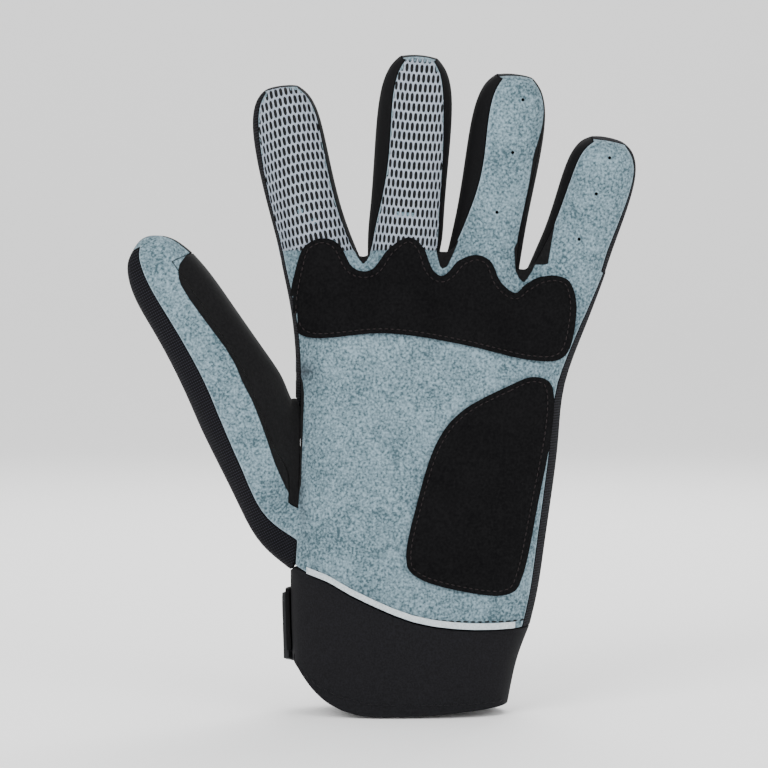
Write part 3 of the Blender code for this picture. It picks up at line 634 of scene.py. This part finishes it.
def stitches(name, line, base, step, long, thick, material, front=True, closed=False):
    """A row of stitches on a surface. Sizes are in millimetres."""
    tree = surface_tree(base)
    way = Vector((0, 1, 0)) if front else Vector((0, -1, 0))
    made = []
    for place, ahead in spread(line, step, closed):
        start = Vector((place.x * MM, 0, place.y * MM)) - way * AWAY
        hit, normal, _, _ = tree.ray_cast(start, way)
        if hit is None:
            continue
        along = Vector((ahead.x, 0, ahead.y))
        along = (along - normal * along.dot(normal)).normalized()
        turn = Matrix((along, normal.cross(along), normal)).transposed().to_4x4()
        size = Matrix.Diagonal((long * MM, thick * MM, thick * MM, 1))
        one = bpy.data.objects.new(name, stitch.data.copy())
        one.data.transform(Matrix.Translation(hit + normal * thick * 0.2 * MM) @ turn @ size)
        bpy.context.collection.objects.link(one)
        made.append(one)
    return finish_piece(join(made, name), material)


def inset_loop(loop, distance):
    """The loop moved inwards."""
    size = len(loop)
    turned = sum(loop[i].x * loop[(i + 1) % size].y - loop[(i + 1) % size].x * loop[i].y
                 for i in range(size))
    side = 1 if turned > 0 else -1
    moved = []
    for i in range(size):
        way = (loop[(i + 1) % size] - loop[i - 1]).normalized()
        moved.append(loop[i] + Vector((-way.y, way.x)) * side * distance)
    return moved


for name, loop, node in (("finger_pad_stitches", pad_loop, "finger_base_pad"),
                         ("heel_pad_stitches", heel_loop, "heel_pad")):
    stitches(name, inset_loop(loop, STITCH_INSET), panels[node], 2.2, 1.5, 0.42, PAD_THREAD,
             closed=True)

# %% [markdown]
# ### Palm hem and cuff hem
# The lower edge of the palm is folded over and sewn to the cuff: a pale narrow strip with a row
# of black stitches above it. The strip is a finer copy of the CAD node, so it keeps to the edge
# of the cuff. The cuff's own lower edge is turned in and held by a second row of stitches.

# %% Palm hem and cuff hem

HEM_LINE = [
    # x      z
    (-31.5, 50.4), (-24.5, 46.9), (-17.8, 43.3), (-11.0, 40.2), (-6.6, 38.2), (-1.5, 35.9),
    (4.4, 34.2), (10.6, 32.8), (17.2, 32.2), (27.0, 31.8), (38.0, 31.7), (45.0, 31.8),
]
stitch_line = [Vector(p) + Vector((0.5, 3.1)) for p in HEM_LINE]
finish_piece(fine_copy("palm_hem", "palm_hem_tape", 1), TAPE)
stitches("palm_hem_stitches", stitch_line, panels["palm_panel"], 2.6, 2.2, 0.55, THREAD)

CUFF_HEM = [
    # x      z
    (-41.0, 24.5), (-36.9, 16.6), (-30.0, 11.0), (-22.0, 7.4), (-12.0, 5.0), (0.0, 4.4),
    (20.0, 4.6), (37.0, 5.0),
]
stitches("cuff_hem_stitches", CUFF_HEM, panels["cuff"], 2.8, 2.3, 0.5, THREAD)

# %% [markdown]
# ### Silicone net
# The index and middle fingers are printed with a grip of raised silver lines round black ovals
# in staggered rows. One hexagon is drawn and repeated by three arrays, each hexagon is inset to
# leave the line between cells, and subdivision turns the inner hexagons into ovals. The flat
# pattern is narrowed towards its sides, because it wraps round the finger, then projected.

# %% Silicone net

CELL_WIDE = 1.8
CELL_PITCH = 3.5
CELL_SLANT = 0.55
CELLS_ACROSS = 18
NET_LINE = 0.25
NET_FOOT = 170.3
WRAP_RADIUS = 15.5
ARCH_HALF = 12.0
BARE_CELLS = [
    # x      z      radius: places where the black film has worn off
    (-31.5, 181.0, 1.0), (-36.5, 184.5, 1.0), (-24.5, 172.8, 1.0), (-1.0, 183.0, 1.0),
    (0.8, 183.0, 1.0), (2.6, 183.0, 1.0), (4.4, 183.0, 1.0),
]
NETS = [
    # name     middle x  foot z  lean  rows  arch
    ("index", -29.6, 169.6, -12.6, 19, 1.6),
    ("middle", 1.6, 169.6, 4.5, 22, -0.9),
]


def net_pattern(rows):
    """Flat staggered cells, lines in the first material slot and cells in the second."""
    half = CELL_WIDE / 2 * MM
    side = (CELL_PITCH - CELL_SLANT) / 2 * MM
    tall = side + CELL_SLANT * MM
    bpy.ops.mesh.primitive_circle_add(vertices=6, fill_type="NGON")
    net = bpy.context.active_object
    corners = ((0, tall), (-half, side), (-half, -side), (0, -tall), (half, -side), (half, side))
    for vertex, (x, z) in zip(net.data.vertices, corners):
        vertex.co = (x - CELLS_ACROSS / 2 * CELL_WIDE * MM, 0, z)
    modify(net, "ARRAY", count=CELLS_ACROSS, use_relative_offset=False, use_constant_offset=True,
           constant_offset_displace=(CELL_WIDE * MM, 0, 0))
    modify(net, "ARRAY", count=2, use_relative_offset=False, use_constant_offset=True,
           constant_offset_displace=(half, 0, CELL_PITCH * MM))
    modify(net, "ARRAY", count=(rows + 1) // 2, use_relative_offset=False,
           use_constant_offset=True, constant_offset_displace=(0, 0, 2 * CELL_PITCH * MM))
    pick(net)
    bpy.ops.object.mode_set(mode="EDIT")
    bpy.ops.mesh.select_all(action="SELECT")
    bpy.ops.mesh.remove_doubles(threshold=0.05 * MM)
    bpy.ops.mesh.inset(use_individual=True, thickness=NET_LINE * MM)
    bpy.ops.transform.edge_crease(value=0.7)
    bpy.ops.object.mode_set(mode="OBJECT")
    net.data.materials.append(SILVER_NET)
    net.data.materials.append(BLACK_FILM)
    for face in net.data.polygons:
        face.material_index = int(face.select)
    modify(net, "SUBSURF", levels=2, render_levels=2)
    return net


for name, middle, foot, lean, rows, arch in NETS:
    net = net_pattern(rows)
    turn = math.radians(lean)
    for vertex in net.data.vertices:
        x, z = vertex.co.x / MM, vertex.co.z / MM
        x = WRAP_RADIUS * math.sin(x / WRAP_RADIUS)
        z += arch * (1 - (x / ARCH_HALF) ** 2) * min(1, z / 30) - arch
        vertex.co = ((middle + x * math.cos(turn) + z * math.sin(turn)) * MM, -AWAY,
                     (foot + z * math.cos(turn) - x * math.sin(turn)) * MM)
    net.name = name + "_net_lines"
    pick(net)
    bpy.ops.object.mode_set(mode="EDIT")
    bpy.ops.mesh.select_mode(type="FACE")
    bpy.ops.mesh.select_all(action="DESELECT")
    bpy.ops.object.mode_set(mode="OBJECT")
    for face in net.data.polygons:
        x, _, z = face.center / MM
        worn = any(math.hypot(x - a, (z - b) * 0.8) < r for a, b, r in BARE_CELLS)
        hidden = inside_by(x, z, [tuple(p) for p in pad_loop[::4]]) > 0.5
        face.select = hidden or z < NET_FOOT or (worn and face.material_index == 1)
    bpy.ops.object.mode_set(mode="EDIT")
    bpy.ops.mesh.delete(type="FACE")
    bpy.ops.mesh.select_all(action="DESELECT")
    net.active_material_index = 1
    bpy.ops.object.material_slot_select()
    bpy.ops.mesh.separate(type="SELECTED")
    bpy.ops.object.mode_set(mode="OBJECT")
    film = next(o for o in bpy.context.selected_objects if o is not net)
    film.name = name + "_net_cells"
    lay_on(film, panels["palm_panel"], 0.06 * MM, 0.05 * MM, trim=1)
    lay_on(net, panels["palm_panel"], 0.04 * MM, 0.26 * MM, trim=1)
    for piece, material in ((film, BLACK_FILM), (net, SILVER_NET)):
        piece.data.materials.clear()
        finish_piece(piece, material, 35)

# %% [markdown]
# ### Reflective print on the back
# Silver squares are printed on the knit: three on each finger and five curved rows on the hand,
# which end round an empty oval. They are so thin that only their faint shine and edge show. The
# oval is a band between two closed lines of places, laid on in the same way.

# %% Reflective print

FINGER_SQUARES = [
    # x      z      wide  tall  lean
    (-43.5, 214, 14.5, 8.5, -13),
    (-41.5, 196.6, 15.5, 10.9, -13),
    (-37.5, 176.5, 16.5, 14.0, -12),
    (3.0, 230, 16.5, 14.0, 3),
    (1.5, 211.8, 16.0, 12.0, 4),
    (0.5, 190, 17.0, 12.8, 4),
    (38.6, 223.7, 15.5, 12.8, 9),
    (36.2, 201.4, 16.5, 12.8, 9),
    (32.6, 177.8, 17.0, 13.8, 9),
    (74.5, 192, 13.0, 13.0, 16),
    (69.5, 169.8, 13.0, 14.5, 18),
    (62.0, 147.0, 14.0, 16.0, 20),
]
HAND_SQUARES = [
    # four corners, each x, z
    ((-38.0, 158.5), (-27.0, 160.9), (-27.5, 155.2), (-38.0, 151.0)),
    ((-23.5, 160.4), (-10.5, 158.5), (-11.5, 152.4), (-24.0, 155.2)),
    ((-6.5, 157.1), (6.1, 155.7), (5.1, 149.1), (-8.0, 151.4)),
    ((9.6, 155.2), (22.6, 151.0), (20.6, 142.9), (8.6, 149.5)),
    ((26.6, 149.5), (38.1, 142.4), (35.1, 135.3), (23.6, 142.0)),
    ((40.7, 141.0), (49.2, 133.4), (47.7, 126.3), (38.1, 133.9)),
    ((51.7, 130.6), (57.2, 120.6), (55.7, 115.4), (50.2, 123.5)),
    ((58.2, 119.2), (61.2, 115.9), (59.2, 106.4), (57.2, 112.1)),
    ((-37.0, 146.2), (-30.0, 149.5), (-30.0, 142.0), (-37.0, 138.2)),
    ((-26.5, 150.0), (-13.0, 148.6), (-14.0, 142.0), (-27.5, 142.9)),
    ((-9.0, 147.2), (3.6, 143.4), (2.6, 136.3), (-10.5, 141.5)),
    ((7.6, 141.5), (19.1, 135.3), (17.6, 128.2), (5.6, 134.4)),
    ((23.1, 133.9), (34.6, 128.2), (32.6, 122.1), (20.6, 126.8)),
    ((37.6, 125.4), (47.2, 117.3), (45.7, 111.6), (35.6, 119.7)),
    ((-40.5, 134.4), (-36.5, 134.4), (-37.5, 125.4), (-42.5, 125.4)),
    ((-34.0, 134.4), (-27.0, 137.2), (-27.5, 127.7), (-35.0, 125.8)),
    ((-23.5, 137.2), (-10.0, 135.3), (-11.5, 127.3), (-24.5, 128.2)),
    ((-5.4, 133.4), (6.1, 126.8), (5.1, 120.2), (-7.5, 126.8)),
    ((-43.0, 122.5), (-37.5, 122.1), (-38.5, 113.1), (-42.5, 113.1)),
    ((-35.0, 121.6), (-27.0, 121.1), (-27.0, 111.2), (-36.5, 112.1)),
    ((-23.5, 121.1), (-11.5, 119.2), (-12.5, 108.8), (-25.0, 111.2)),
    ((-7.0, 117.8), (6.6, 111.2), (4.6, 103.6), (-9.5, 108.3)),
    ((10.1, 108.3), (20.1, 98.4), (20.6, 93.2), (9.1, 101.7)),
    ((-39.0, 107.4), (-28.5, 104.5), (-30.0, 94.1), (-41.0, 96.9)),
    ((-25.5, 103.1), (-14.5, 99.8), (-15.0, 89.4), (-27.0, 93.2)),
    ((-10.5, 97.4), (2.6, 92.2), (0.6, 82.3), (-12.0, 86.1)),
    ((6.6, 89.8), (21.1, 83.2), (17.6, 73.3), (3.6, 80.8)),
    ((26.6, 80.4), (38.1, 71.8), (33.1, 63.8), (21.1, 70.9)),
]

squares = []
for x, z, wide, tall, lean in FINGER_SQUARES:
    turn = Matrix.Rotation(math.radians(-lean), 2)
    corners = ((-wide, tall), (wide, tall), (wide, -tall), (-wide, -tall))
    squares.append([Vector((x, z)) + turn @ Vector(corner) / 2 for corner in corners])
squares += [[Vector(corner) for corner in corners] for corners in HAND_SQUARES]
print_squares = flat_shapes("reflective_squares", squares, front=False, step=1.3)
lay_on(print_squares, panels["back_panel"], 0.14 * MM, 0.12 * MM, front=False)
finish_piece(print_squares, REFLECTIVE, 35)


def oval(middle, long, wide, lean, count=64):
    """Places round an oval with pointed ends."""
    turn = Matrix.Rotation(math.radians(lean), 2)
    places = []
    for number in range(count):
        angle = 2 * math.pi * number / count
        place = Vector((math.cos(angle) * long, math.copysign(abs(math.sin(angle)) ** 1.15,
                                                             math.sin(angle)) * wide)) / 2
        places.append(Vector(middle) + turn @ place)
    return places


def flat_band(name, outer, inner, front=True):
    """A flat band between two closed lines of equally many places."""
    loops = []
    for line in (outer, inner):
        bpy.ops.mesh.primitive_circle_add(vertices=len(line), fill_type="NOTHING")
        loop = bpy.context.active_object
        for vertex, place in zip(loop.data.vertices, line):
            vertex.co = (place[0] * MM, (-AWAY if front else AWAY), place[1] * MM)
        loops.append(loop)
    band = join(loops, name)
    bpy.ops.object.mode_set(mode="EDIT")
    bpy.ops.mesh.select_mode(type="EDGE")
    bpy.ops.mesh.select_all(action="SELECT")
    bpy.ops.mesh.bridge_edge_loops()
    bpy.ops.object.mode_set(mode="OBJECT")
    return band


ring = flat_band("reflective_oval", oval((31.8, 99.3), 64, 25, -53.4),
                 oval((32.6, 98.3), 59.5, 21.4, -53.4), front=False)
lay_on(ring, panels["back_panel"], 0.14 * MM, 0.12 * MM, front=False)
finish_piece(ring, REFLECTIVE, 35)

# %% [markdown]
# ### Strap cover
# A moulded rubber cover is welded onto the strap: a lens shape with a raised pale rim, a thin
# inner line and a grey tongue with two slots at the thumb's end. The lens is a copy of the CAD
# node, and each raised line is a flat band projected onto it.

# %% Strap cover

BADGE_OUTLINE = [
    # x      z
    (-60.4, 40.7), (-47.0, 42.8), (-33.7, 44.5), (-23.0, 46.1), (-12.0, 47.2), (-1.0, 47.0),
    (9.7, 46.0), (19.0, 43.4), (26.8, 40.2), (33.4, 36.4), (38.8, 32.4), (32.0, 27.0),
    (24.2, 22.3), (15.0, 17.6), (4.9, 13.6), (-4.0, 11.4), (-12.0, 11.1), (-23.0, 12.9),
    (-33.7, 15.5), (-47.0, 18.8), (-60.4, 22.3), (-60.4, 31.0),
]
cover = fine_copy("strap_badge", "strap_cover", 2, 0.9)
finish_piece(cover, RUBBER)
badge_loop = [Vector(p) for p in BADGE_OUTLINE]
LINES = [
    # name              inset from, to  height  material
    ("cover_rim", 0.5, 2.2, 0.55, WHITE_RUBBER),
    ("cover_inner_line", 4.6, 5.2, 0.30, GREY_RUBBER),
]
for name, outer, inner, height, material in LINES:
    fine = smooth_loop(badge_loop, 4)
    band = flat_band(name, inset_loop(fine, outer), inset_loop(fine, inner), front=False)
    lay_on(band, cover, 0.05 * MM, height * MM, front=False)
    finish_piece(band, material, 35)
tongue = [(-57.0, 38.6), (-44.0, 40.2), (-34.0, 39.6), (-27.0, 35.0), (-24.0, 29.0),
          (-27.0, 23.2), (-34.0, 19.6), (-44.0, 20.4), (-57.0, 24.0)]
tongue_piece = flat_shapes("cover_tongue", [smooth_loop(tongue, 5)], front=False)
lay_on(tongue_piece, cover, 0.05 * MM, 0.4 * MM, front=False)
finish_piece(tongue_piece, GREY_RUBBER, 35)
slots = [[(x - 0.9, 24.0), (x + 0.9, 24.0), (x + 0.9, 35.0), (x - 0.9, 35.0)] for x in (-38, -33)]
slot_piece = flat_shapes("cover_slots", slots, front=False)
lay_on(slot_piece, tongue_piece, 0.04 * MM, 0.06 * MM, front=False)
finish_piece(slot_piece, RUBBER, 35)

# %% [markdown]
# ### Air holes
# Three small holes let air through the front of the ring finger and three through the little
# finger. Each is punched, so it is cut right through the panel with a thin cylinder.

# %% Air holes

AIR_HOLE_RADIUS = 0.62
AIR_HOLES = [
    # x     z
    (44.4, 224.7), (40.8, 205.7), (35.2, 184.1), (75.9, 203.7), (71.2, 190.7), (65.2, 174.3),
]
tree = surface_tree(panels["palm_panel"])
punches = []
for x, z in AIR_HOLES:
    hit = tree.ray_cast(Vector((x * MM, -AWAY, z * MM)), Vector((0, 1, 0)))[0]
    bpy.ops.mesh.primitive_cylinder_add(vertices=16, radius=AIR_HOLE_RADIUS * MM, depth=6 * MM,
                                        location=hit, rotation=(math.radians(90), 0, 0))
    punches.append(bpy.context.active_object)
punch = join(punches, "punch")
modify(panels["palm_panel"], "BOOLEAN", object=punch, operation="DIFFERENCE", solver="EXACT")
bpy.data.objects.remove(punch)
print("palm_panel", len(panels["palm_panel"].data.polygons), "faces")

# %% [markdown]
# ## Stage, light and camera
# The photograph is a studio cut-out on white: soft light from the front and both sides and
# almost no shadow. A pale sheet runs under the glove and up behind it.

# %% Stage

bpy.ops.mesh.primitive_plane_add(size=4.0, location=(0, 0.6, -0.5 * MM))
backdrop = bpy.context.active_object
backdrop.name = "studio_sheet"
bpy.ops.object.transform_apply(location=True, rotation=True, scale=True)
bpy.ops.object.mode_set(mode="EDIT")
bpy.ops.mesh.select_mode(type="EDGE")
bpy.ops.mesh.select_all(action="DESELECT")
bpy.ops.object.mode_set(mode="OBJECT")
for edge in backdrop.data.edges:
    edge.select = all(backdrop.data.vertices[v].co.y > 2.5 for v in edge.vertices)
bpy.ops.object.mode_set(mode="EDIT")
bpy.ops.mesh.extrude_region_move(TRANSFORM_OT_translate={"value": (0, 0, 2.5)})
bpy.ops.object.mode_set(mode="OBJECT")
modify(backdrop, "BEVEL", width=0.8, segments=12, angle_limit=math.radians(40))
pick(backdrop)
bpy.ops.object.shade_smooth_by_angle(angle=math.radians(60))
backdrop.data.materials.append(new_material("white_studio_paper", "FFFFFF", 0.9))
print("stage:", backdrop.name)

LIGHTS = [
    # name    place                 size   power
    ("key", (-0.7, -1.2, 0.9), 0.8, 20),
    ("fill", (0.9, -1.1, 0.5), 0.9, 11),
    ("back", (0.2, 1.0, 1.2), 0.9, 16),
]
for name, place, size, power in LIGHTS:
    data = bpy.data.lights.new(name, "AREA")
    data.size = size
    data.energy = power
    lamp = bpy.data.objects.new(name, data)
    lamp.location = place
    lamp.rotation_euler = (Vector((0, 0, 0.12)) - Vector(place)).to_track_quat("-Z", "Y").to_euler()
    bpy.context.collection.objects.link(lamp)

world = bpy.data.worlds.new("studio_air")
world.use_nodes = True
world.node_tree.nodes["Background"].inputs["Color"].default_value = (1, 1, 1, 1)
world.node_tree.nodes["Background"].inputs["Strength"].default_value = 1.1
bpy.context.scene.world = world

# %% [markdown]
# ### Camera
# A long lens far away keeps the fingers as flat as they are in the photograph. It looks at the
# middle of the glove from a little above it.

# %% Camera

TARGET = Vector((-0.006, 0, 0.121))
camera_data = bpy.data.cameras.new("camera")
camera_data.lens = 142
camera_data.sensor_width = 36
camera = bpy.data.objects.new("camera", camera_data)
camera.location = TARGET + Vector((0, -1.12, 0.035))
camera.rotation_euler = (TARGET - camera.location).to_track_quat("-Z", "Y").to_euler()
bpy.context.collection.objects.link(camera)
bpy.context.scene.camera = camera
print("camera at", [round(v, 3) for v in camera.location])

# %% Finish

bpy.data.objects.remove(stitch)
